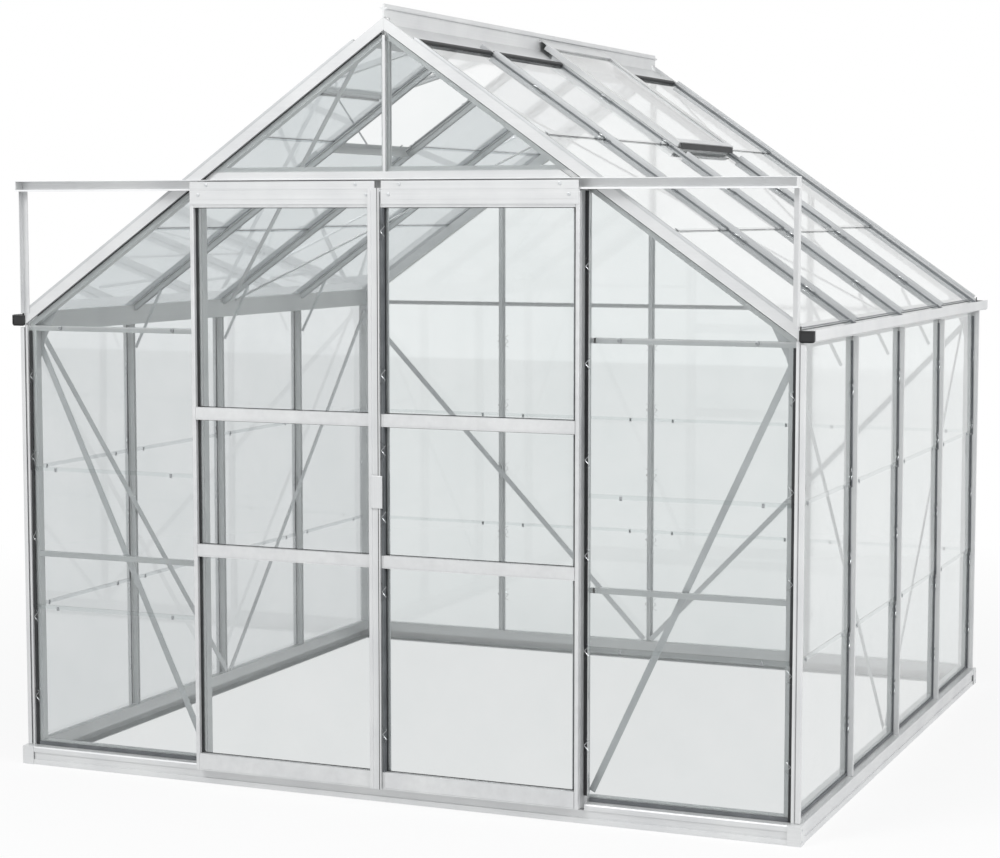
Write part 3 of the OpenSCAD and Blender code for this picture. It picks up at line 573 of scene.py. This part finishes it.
# ---- Side walls and roof slopes: bars, rubber, clips ----
bar, low_bar = glazing_bar_part(), bar_part_low()
wall_bars = []
for side in ("left", "right"):
    wall, roof = side + "_wall", side + "_roof"
    bars_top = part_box("side_wall_bars")[1].z
    wall_bars += [lay(bar, wall, (y, LEDGE, 0), (y, bars_top, 0)) for y in BAR_YS]
    cap = capping_part(CAPPING, 0.014)
    ends = [k * (OUT_Y - CAPPING_IN) for k in (-1, 1)]
    items = [lay(cap, wall, (y, PANE_FOOT, 0.0105), (y, WALL_TOP - 0.002, 0.0105)) for y in ends]
    pieces(items, wall + "_post_cappings", ALU["z"])
    # the roof's bars are cut down under the ridge, and under the vent in the middle bays
    items, rubber = [], []
    for y in BAR_YS:
        vented = (0 <= y) if side == "right" else (y <= 0)
        stop = VENT_FOOT if vented else RIDGE_FOOT
        items.append(lay(bar, roof, (y, -0.004, 0), (y, stop, 0)))
        items.append(lay(low_bar, roof, (y, stop, 0), (y, SLOPE - 0.058, 0)))
        for k in (-1, 1):
            rubber += beads(roof, y + k * BEAD_IN, EAVES, ROOF_TOP, height=0.0035)
    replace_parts(pieces(items, roof + "_bars_drawn", ALU[side]), roof + "_bars")
    for k in (-1, 1):
        rubber += beads(roof, k * (SEAT_Y - BEAD_IN), EAVES, ROOF_TOP)
    flat = strip_part(0.004, FLAT_BEAD)
    for left, right in zip(ENDS, ENDS[1:]):
        rubber.append(lay(flat, roof, (left + CHANNEL_IN, 0.006, GLASS + LEAN),
                          (right - CHANNEL_IN, 0.006, GLASS + LEAN)))
    pieces(rubber, roof + "_glazing_rubber", LIT_RUBBER_PALE)
    rubber, channel = [], []
    for y in BAR_YS:
        for k in (-1, 1):
            rubber += beads(wall, y + k * 0.0083, PANE_FOOT, PANE_HEAD, width=0.0062, height=0.004)
    for k in (-1, 1):
        rubber += beads(wall, k * (SEAT_Y - BEAD_IN), PANE_FOOT, PANE_HEAD)
    for left, right in zip(ENDS, ENDS[1:]):
        channel.append(lay(strip_part(0.009, FLAT_BEAD), wall,
                           (left + CHANNEL_IN, PANE_FOOT + 0.005, ON_GLASS),
                           (right - CHANNEL_IN, PANE_FOOT + 0.005, ON_GLASS)))
    pieces(rubber, wall + "_glazing_rubber", LIT_RUBBER)
    pieces(channel, wall + "_foot_rubber", LIT_RUBBER)
    items = []
    for y in BAR_YS:
        for k in (-1, 1):
            items += clips(wall, y + k * 0.012, PANE_FOOT + CLIP_END, PANE_HEAD - CLIP_END, k)
            items += clips(roof, y + k * CLIP_IN, CLIP_END, RIDGE_FOOT - 0.06, k)
    for k in (-1, 1):
        items += clips(wall, k * (SEAT_Y - POST_CLIP_IN), PANE_FOOT + CLIP_END, PANE_HEAD - CLIP_END, -k)
    pieces(items, side + "_spring_clips", WIRE)
    items = lap_clips(wall, ENDS, LEDGE, WALL_TOP) + lap_clips(roof, ENDS, -0.014, ROOF_TOP)
    pieces(items, side + "_lap_clips", ZINC)

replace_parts(pieces(wall_bars, "side_wall_bars_drawn", ALU["z"]), "side_wall_bars")

# ---- Base rails ----
long_end, side_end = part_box("base_front")[1].x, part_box("base_left")[1].y
part = base_part()
for side, end, seat, toward in (("front", long_end, SEAT_Y, -1), ("rear", long_end, SEAT_Y, 1),
                                ("left", side_end, SEAT_X, 1), ("right", side_end, SEAT_X, -1)):
    low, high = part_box("base_" + side)
    out = max(-low.y, high.y) - SEAT_Y if seat == SEAT_Y else max(-low.x, high.x) - SEAT_X
    ends = [(k * toward * end, (low.z + high.z) / 2, out) for k in (-1, 1)]
    rail = pieces([lay(part, side + "_wall", *ends)], "base_" + side + "_rail",
                  ALU["x" if seat == SEAT_Y else "y"])
    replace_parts(rail, "base_" + side)

# ---- Rear and front walls ----
GABLE_XS = [-OUT_X / 2, 0, OUT_X / 2]
X_ENDS = [-SEAT_X + 0.005, *GABLE_XS, SEAT_X - 0.005]
bar_low, bar_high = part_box("rear_wall_bars")
items = [lay(bar, "rear_wall", (x, bar_low.z, 0), (x, bar_high.z - 0.004 - abs(x) * math.tan(pitch), 0))
         for x in GABLE_XS]
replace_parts(pieces(items, "rear_wall_bars_drawn", ALU["z"]), "rear_wall_bars")
rubber, items = [], []
for x in GABLE_XS:
    for k in (-1, 1):
        rubber += beads("rear_wall", x + k * BEAD_IN, PANE_FOOT, PANE_HEAD)
        items += clips("rear_wall", x + k * CLIP_IN, LEDGE + CLIP_END, CROSS_TOP - CLIP_END, k)
for k in (-1, 1):
    rubber += beads("rear_wall", k * (SEAT_X - BEAD_IN), PANE_FOOT, PANE_HEAD)
    items += clips("rear_wall", k * (SEAT_X - CLIP_IN), LEDGE + CLIP_END, CROSS_TOP - CLIP_END, -k)
pieces(rubber, "rear_wall_glazing_rubber", RUBBER)
pieces(items, "rear_wall_spring_clips", WIRE)
pieces(lap_clips("rear_wall", X_ENDS, LEDGE, WALL_TOP), "rear_wall_lap_clips", ZINC)

# a jamb's width and depth are the door post's, so its back lies behind the glass seat
JAMB_DEEP = 0.030
JAMB_SEAL_TOP, JAMB_CLIPS_TOP = 1.826, 1.75
post_low, post_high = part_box("door_posts")
items = [lay(door_post_part(), "front_wall", (k * (DOOR_POST - 0.0125), post_low.z, STEM - JAMB_DEEP),
             (k * (DOOR_POST - 0.0125), post_high.z, STEM - JAMB_DEEP)) for k in (-1, 1)]
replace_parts(pieces(items, "door_posts_drawn", ALU["z"]), "door_posts")
rubber, items, channel = [], [], []
jamb = DOOR_POST - 0.002
for k in (-1, 1):
    rubber += beads("front_wall", k * (SEAT_X - 0.008), PANE_FOOT, CROSS_TOP - 0.004,
                    width=0.008, height=0.004)
    # the seal that the closed door's outer stile covers
    rubber.append(lay(strip_part(0.0105, 0.003), "front_wall", (k * jamb, BASE_TOP + 0.04, STEM + HAIR),
                      (k * jamb, JAMB_SEAL_TOP, STEM + HAIR)))
    channel.append(lay(strip_part(0.011, 0.002), "front_wall",
                       (k * (DOOR_POST + 0.006), LEDGE + 0.0065, ON_GLASS),
                       (k * (SEAT_X - 0.013), LEDGE + 0.0065, ON_GLASS)))
    # the clips beside the doorway grip the post's front
    items += [(part, Matrix.Translation((0, OVER_GLASS - STEM - 0.0022, 0)) @ m)
              for part, m in clips("front_wall", k * (DOOR_POST + 0.001), LEDGE + CLIP_END,
                                   JAMB_CLIPS_TOP, k)]
    items += clips("front_wall", k * (SEAT_X - POST_CLIP_IN), LEDGE + CLIP_END, CROSS_TOP - CLIP_END, -k)
pieces(rubber, "front_wall_glazing_rubber", RUBBER)
pieces(channel, "front_wall_foot_rubber", LIT_RUBBER)
pieces(items, "front_wall_spring_clips", WIRE)
items = []
for k in (-1, 1):
    edges = sorted((k * (DOOR_POST + 0.012), k * (SEAT_X - 0.005)))
    items += lap_clips("front_wall", edges, LEDGE, WALL_TOP)
pieces(items, "front_wall_lap_clips", ZINC)

# ---- Sliding doors: rubber over the glass edges, screws, seals, clips and handle; some rubber and seals are partly painted shade ----
leaf_low, leaf_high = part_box("right_door_frame")
pane_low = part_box("right_door_glass")[0]
FACES["doors"] = Face((1, 0, 0), (0, 0, 1), (0, -1, 0), (0, pane_low.y, 0))
# foot and head of each of a leaf's four rails, and what's between them: the openings with glass
RAILS = [(leaf_low.z, 0.099), (0.714, 0.752), (1.135, 1.173), (1.779, leaf_high.z)]
OPENINGS = [(low, high) for (_, low), (high, _) in zip(RAILS, RAILS[1:])]
STILE_IN = 0.012      # a leaf's stile bead, from its outer edge
ON_PANE = 0.0003
for k, side in ((-1, "left"), (1, "right")):
    inner, outer = k * (leaf_low.x + STILE_IN), k * (leaf_high.x - STILE_IN)
    ends = sorted((inner + k * 0.004, outer - k * 0.008))
    rubber = []
    for low, high in OPENINGS:
        # the wide strip at the outer stile is a glass-edge gasket and also painted shade standing for the
        # stile's shaded side
        for a, width in ((inner + k * 0.0022, 0.003), (outer - k * 0.004, 0.0075)):
            rubber.append(lay(strip_part(width, FLAT_BEAD), "doors", (a, low + 0.0004, ON_PANE),
                              (a, high - 0.0004, ON_PANE)))
        for u in (low + 0.0014, high - 0.0014):
            rubber.append(lay(strip_part(0.002, FLAT_BEAD), "doors",
                              (ends[0], u, ON_PANE), (ends[1], u, ON_PANE)))
    pieces(rubber, side + "_door_rubber_and_painted_shade", RUBBER, side + "_door")
    head_low, head_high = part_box(side + "_door_head")
    out = pane_low.y - head_low.y + HAIR / 2
    items = []
    # two screws on the upper line of the head plate and two on the lower, near its ends
    for a, u in ((0.572, -0.010), (0.071, -0.010), (0.600, -0.040), (0.036, -0.040)):
        items.append((SCREW, FACES["doors"].place(k * a, head_high.z + u, out)))
    pieces(items, side + "_door_screws", SCREW_STEEL, side + "_door")

strip_low, strip_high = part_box("meeting_strip")
out = pane_low.y - strip_low.y + HAIR / 2
# a thin black line beside the strip's edge: painted shadow of the gap between the strip and the bead
pieces([lay(strip_part(0.002, 0.0006), "doors", (0.0015, strip_low.z, out), (0.0015, strip_high.z, out))],
       "meeting_strip_painted_shadow_line", RUBBER, "left_door")
# brush seal on the right leaf's inner stile: across its bead's front, and down its side to the glass. Its
# grey is partly a seal and partly painted shade on the stile's side
FACES["right_stile_side"] = Face((0, 1, 0), (0, 0, 1), (1, 0, 0), (leaf_low.x + STILE_IN, 0, 0))
deep = pane_low.y - leaf_low.y
front_x, side_y = leaf_low.x + 0.0085, leaf_low.y + deep / 2
items = []
for low, high in OPENINGS:
    items.append(lay(strip_part(0.0065, 0.0008), "doors", (front_x, low, deep), (front_x, high, deep)))
    items.append(lay(strip_part(deep - 0.0006, 0.0007), "right_stile_side", (side_y, low, HAIR / 2),
                     (side_y, high, HAIR / 2)))
pieces(items, "right_door_brush_seal_and_painted_shade", LIT_RUBBER, "right_door")
items = [(CLIP, FACES["doors"].place(leaf_low.x + 0.0125, z, deep + 0.0023))
         for low, high in OPENINGS for z in (low + 0.115, high - 0.070)]
pieces(items, "right_door_spring_clips", WIRE, "right_door")
# the handle: a flat grip whose front stands up a little, with an eased edge
grip_low, grip_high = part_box("left_door_handle")
obj = block(0.038, 0.0033, grip_high.z - grip_low.z)
pick(obj, faces=lambda c, n: n.z > 0.9)
bpy.ops.mesh.inset(thickness=0.002)
extrude(0, 0, 0.0004)
pick(obj, edges=lambda v: 0.003 < v.z < 0.0035)
bpy.ops.mesh.bevel(offset=0.0008, segments=2, affect="EDGES")
end_edit()
out = pane_low.y - grip_high.y
grip = pieces([(obj, FACES["doors"].place(-0.004, grip_low.z, out))], "left_door_handle_plate", ALU["z"],
              "left_door")
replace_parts(grip, "left_door_handle")
PARTS["grip"] = obj

# ---- Gutter ends: a plug with rounded lower edges, and a prong that stands on its inner end ----
PLUG_FOOT = 0.0065    # above the lowest point of the CAD's cap
obj = block(0.044, 0.0335, 0.006)
pick(obj, edges=lambda v: v.z < 0.001)
bpy.ops.mesh.bevel(offset=0.006, segments=3, affect="EDGES")
pick(obj, edges=lambda v: v.y < 0.001)
bpy.ops.mesh.bevel(offset=0.0012, segments=2, affect="EDGES")
pick(obj, faces=lambda c, n: n.y < -0.95)
bpy.ops.mesh.inset(thickness=0.003)
extrude(0, 0.0015, 0)
end_edit()
PARTS["plug"] = obj
PARTS["prong"] = block(0.003, 0.012, 0.004, z=0.033)
bpy.ops.object.mode_set(mode="OBJECT")
cap_low, cap_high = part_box("gutter_end_caps")
items = []
for ky in (-1, 1):
    turn = Matrix.Rotation(0 if ky < 0 else math.pi, 4, "Z")
    for kx in (-1, 1):
        for part, x, y in (("plug", 0.0265, -0.0001), ("prong", 0.044, 0.002)):
            place = (kx * (cap_high.x - x), ky * (cap_high.y - y), cap_low.z + PLUG_FOOT)
            items.append((PARTS[part], Matrix.Translation(place) @ turn))
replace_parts(pieces(items, "gutter_end_plugs", PLASTIC), "gutter_end_caps")

# ---- Rafters: cappings on their outer edges, rubber where the gable glass meets them, partly painted shadow ----
for side in ("left", "right"):
    f = FACES[side + "_roof"]
    items, rubber = [], []
    for k in (-1, 1):
        y = k * (OUT_Y - CAPPING_IN)
        items.append(lay(capping_part(CAPPING, 0.0085), side + "_roof", (y, 0.006, STEM + HAIR),
                         (y, RIDGE_FOOT - 0.001, STEM + HAIR)))
        # on the gable glass, along the rafter's lower edge: a seal that also paints the shadow line under the
        # rafter (painted shadow)
        y = k * (SEAT_Y + 0.0036)
        start, end = f.at(y, 0.030, -0.0178), f.at(y, SLOPE - 0.026, -0.0178)
        rubber.append(stretch(strip_part(0.003, FLAT_BEAD), start, end, Vector((0, k, 0))))
    pieces(items, side + "_rafter_cappings", ALU[side])
    pieces(rubber, side + "_gable_rubber_and_painted_shadow", RUBBER)

# ---- Ridge and vents: black seals, partly painted shade under the ridge's flange and over the vent's sill ----
rubber = []
seal, seal_up = strip_part(0.015, 0.0095), RIDGE_FOOT + 0.006
for side in ("left", "right"):
    for left, right in zip(ENDS, ENDS[1:]):
        # a vent takes the bay on one side of the middle bar, and has its own lip below
        vented = abs(left if side == "right" else right) < 0.1
        if not vented:
            rubber.append(lay(seal, side + "_roof", (left + 0.008, seal_up, 0.004),
                              (right - 0.008, seal_up, 0.004)))
for k, side in ((-1, "left"), (1, "right")):
    rail_low, rail_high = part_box(side + "_vent_frame")
    edge = rail_high.x if k > 0 else rail_low.x
    FACES[side + "_vent_edge"] = Face((0, 1, 0), (0, 0, 1), (k, 0, 0), (edge, 0, 0))
    # the lip is 20 mm tall and hangs below the vent's foot rail over its sill: a lip seal and painted shade
    lip_z = rail_low.z + 0.002
    rubber.append(lay(strip_part(0.020, 0.0014), side + "_vent_edge", (rail_low.y + 0.012, lip_z, HAIR),
                      (rail_high.y - 0.012, lip_z, HAIR)))
pieces(rubber, "ridge_seals_and_painted_shade", RUBBER)

# ---- Fittings of the frame ----
# two bolts a side through the upper cross bars, near the doorway and near the corner post
items = []
for k in (-1, 1):
    for x in (0.732, 1.138):
        items.append((BOLT, FACES["front_wall"].place(k * x, CROSS_TOP - 0.006, HAIR)))
pieces(items, "cross_bar_bolts", ZINC)
# cleats: short flats, 22 mm long, at the inner ends of the upper and lower cross bars
LOW_CROSS_TOP = 0.688
short = Matrix.Scale(0.022, 4, (0, 1, 0)) @ Matrix.Translation((0, -0.5, 0))
items = [(strip_part(0.016, 0.003),
          FACES["front_wall"].place(k * 0.649, top - 0.008, -0.003, math.pi / 2) @ short)
         for k in (-1, 1) for top in (CROSS_TOP, LOW_CROSS_TOP)]
pieces(items, "cross_bar_cleats", ALU["x"])
# end stops: flats 36 mm deep that close the track's ends
track_low, track_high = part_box("door_track")
items = []
stop = strip_part(0.028, 0.003)
for k in (-1, 1):
    turn = Matrix.Rotation(-k * math.pi / 2, 4, "Y")
    place = (k * (track_high.x - 0.0005), track_low.y + 0.0015, (track_low.z + track_high.z) / 2)
    items.append((stop, Matrix.Translation(place) @ turn @ Matrix.Scale(0.036, 4, (0, 1, 0))))
pieces(items, "track_end_stops", ALU["z"])
plate_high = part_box("base_corner_plates")[1]
items = []
for kx in (-1, 1):
    turn = Matrix.Rotation(kx * math.pi / 2, 4, "Y")
    for ky in (-1, 1):
        for z in (0.013, 0.045):
            place = (kx * (plate_high.x + HAIR / 2), ky * (plate_high.y - 0.012), z)
            items.append((SMALL_SCREW, Matrix.Translation(place) @ turn))
pieces(items, "corner_plate_screws", SCREW_STEEL)

# ---- Vents: rolled hinge edges beside the ridge's fin, and the bracket from the stay to the open vent ----
HINGE_ROLL = 0.0088
items = []
for k, side in ((-1, "left"), (1, "right")):
    rail_low, rail_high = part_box(side + "_vent_frame")
    # it starts 0.4 mm inside the head rail's tip, and its top lies 3 mm above the rail
    tip = rail_high.x if k < 0 else rail_low.x
    place = (tip - k * (HINGE_ROLL / 2 - 0.0004), 0, rail_high.z + 0.003 - HINGE_ROLL)
    FACES[side + "_hinge"] = Face((0, 1, 0), (k, 0, 0), (0, 0, 1), place)
    items.append(lay(strip_part(HINGE_ROLL, HINGE_ROLL), side + "_hinge",
                     (rail_low.y, 0, 0), (rail_high.y, 0, 0)))
pieces(items, "vent_hinge_rolls", ALU["y"])
stay_low, stay_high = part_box("vent_stays")
rail_low, rail_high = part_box("left_vent_frame")
foot = Vector((stay_low.x - 0.001, 0, stay_high.z - 0.0025))
run = Vector((rail_low.x + 0.018, 0, rail_low.z + 0.0015)) - foot
along = run.normalized()
FACES["stay_bracket"] = Face((0, 1, 0), along, Vector((-along.z, 0, along.x)), foot)
middle = (stay_low.y + stay_high.y) / 2
STRAP = 0.0022
bracket = lay(strip_part(0.012, STRAP), "stay_bracket", (middle, 0, 0), (middle, run.length, 0))
pegs = [(SMALL_SCREW, FACES["stay_bracket"].place(middle, up, STRAP)) for up in (0.007, run.length - 0.008)]
pieces([bracket] + pegs, "vent_stay_bracket", ZINC)

# ---- Floor, light and camera ----
# the floor and the sky are white to the eye and in the metal; through the glass the sky is white and the
# floor glows at 0.9, a painted shade
NEAR_WHITE = 0.86     # share of white where the house's shadow falls; all white from 5 m out
m, t = new_material("studio_floor_painted")
paint = add(t, "ShaderNodeBsdfDiffuse", {"Color": lin("#F6F6F6")})
ray = add(t, "ShaderNodeLightPath")
where = add(t, "ShaderNodeTexCoord").outputs["Object"]
# painted shade: the floor seen through the panes glows at 0.9 rather than 1
glow_shaded_through_glass = add(t, "ShaderNodeMapRange", {"Value": ray.outputs["Is Transmission Ray"],
                                      "To Min": 1.0, "To Max": 0.9})
glow = add(t, "ShaderNodeEmission", {"Color": lin("#FFFFFF"), "Strength": glow_shaded_through_glass.outputs[0]})
seen = add(t, "ShaderNodeMath", {0: ray.outputs["Is Camera Ray"], 1: ray.outputs["Is Glossy Ray"]},
           operation="MAXIMUM")
seen = add(t, "ShaderNodeMath", {0: seen.outputs[0], 1: ray.outputs["Is Transmission Ray"]},
           operation="MAXIMUM")
away = add(t, "ShaderNodeVectorMath", {0: where}, operation="LENGTH")
share = add(t, "ShaderNodeMapRange", {"Value": away.outputs["Value"], "From Min": 2.0, "From Max": 5.0,
                                      "To Min": NEAR_WHITE, "To Max": 1.0})
part = add(t, "ShaderNodeMath", {0: seen.outputs[0], 1: share.outputs[0]}, operation="MULTIPLY")
mix = add(t, "ShaderNodeMixShader", {"Fac": part.outputs[0], 1: paint.outputs[0], 2: glow.outputs[0]})
add(t, "ShaderNodeOutputMaterial", {"Surface": mix.outputs[0]})
bpy.ops.object.select_all(action="DESELECT")
bpy.ops.mesh.primitive_plane_add(size=37, location=(0, 0, -0.0005))
floor = bpy.context.active_object
floor.name = "studio_floor"
floor.data.materials.append(m)
floor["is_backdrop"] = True

world = bpy.data.worlds.new("studio_light")
bpy.context.scene.world = world
world.use_nodes = True
t = world.node_tree
t.nodes.clear()
ray = add(t, "ShaderNodeLightPath")
seen = add(t, "ShaderNodeMath", {0: ray.outputs["Is Camera Ray"], 1: ray.outputs["Is Glossy Ray"]},
           operation="MAXIMUM")
seen = add(t, "ShaderNodeMath", {0: seen.outputs[0], 1: ray.outputs["Is Transmission Ray"]},
           operation="MAXIMUM")
soft = add(t, "ShaderNodeBackground", {"Color": lin("#F4F6F8"), "Strength": 0.52})
white = add(t, "ShaderNodeBackground", {"Color": lin("#FFFFFF"), "Strength": 1.0})
mix = add(t, "ShaderNodeMixShader", {"Fac": seen.outputs[0], 1: soft.outputs[0], 2: white.outputs[0]})
add(t, "ShaderNodeOutputWorld", {"Surface": mix.outputs[0]})


def lamp(name, place, aim, size, power):
    data = bpy.data.lights.new(name, "AREA")
    data.shape, data.size, data.energy = "DISK", size, power
    obj = bpy.data.objects.new(name, data)
    obj.location = place
    obj.rotation_euler = (Vector(aim) - Vector(place)).to_track_quat("-Z", "Y").to_euler()
    bpy.context.scene.collection.objects.link(obj)


lamp("key_lamp", (-3.0, -7.0, 6.5), (0, 0, 1), 4.0, 330)
lamp("side_lamp", (7.0, -3.0, 4.0), (0, 0, 1), 4.0, 290)

# a long lens at eye height, turned round towards the right corner
cam = bpy.data.cameras.new("camera")
cam.lens = 83.2
cam.sensor_width = 36
camera = bpy.data.objects.new("camera", cam)
camera.location = (2.9553, -7.3773, 1.7591)
camera.rotation_euler = (math.radians(90 - 5.311), 0, math.radians(22.764))
cam.clip_end = 200
bpy.context.scene.collection.objects.link(camera)
bpy.context.scene.camera = camera
bpy.context.scene.view_settings.view_transform = "Standard"

# the parts that were copied aren't pieces themselves
for part in [CLIP, SCREW, SMALL_SCREW, BOLT, LAP_CLIP, *PARTS.values()]:
    bpy.data.objects.remove(part)

low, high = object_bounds()
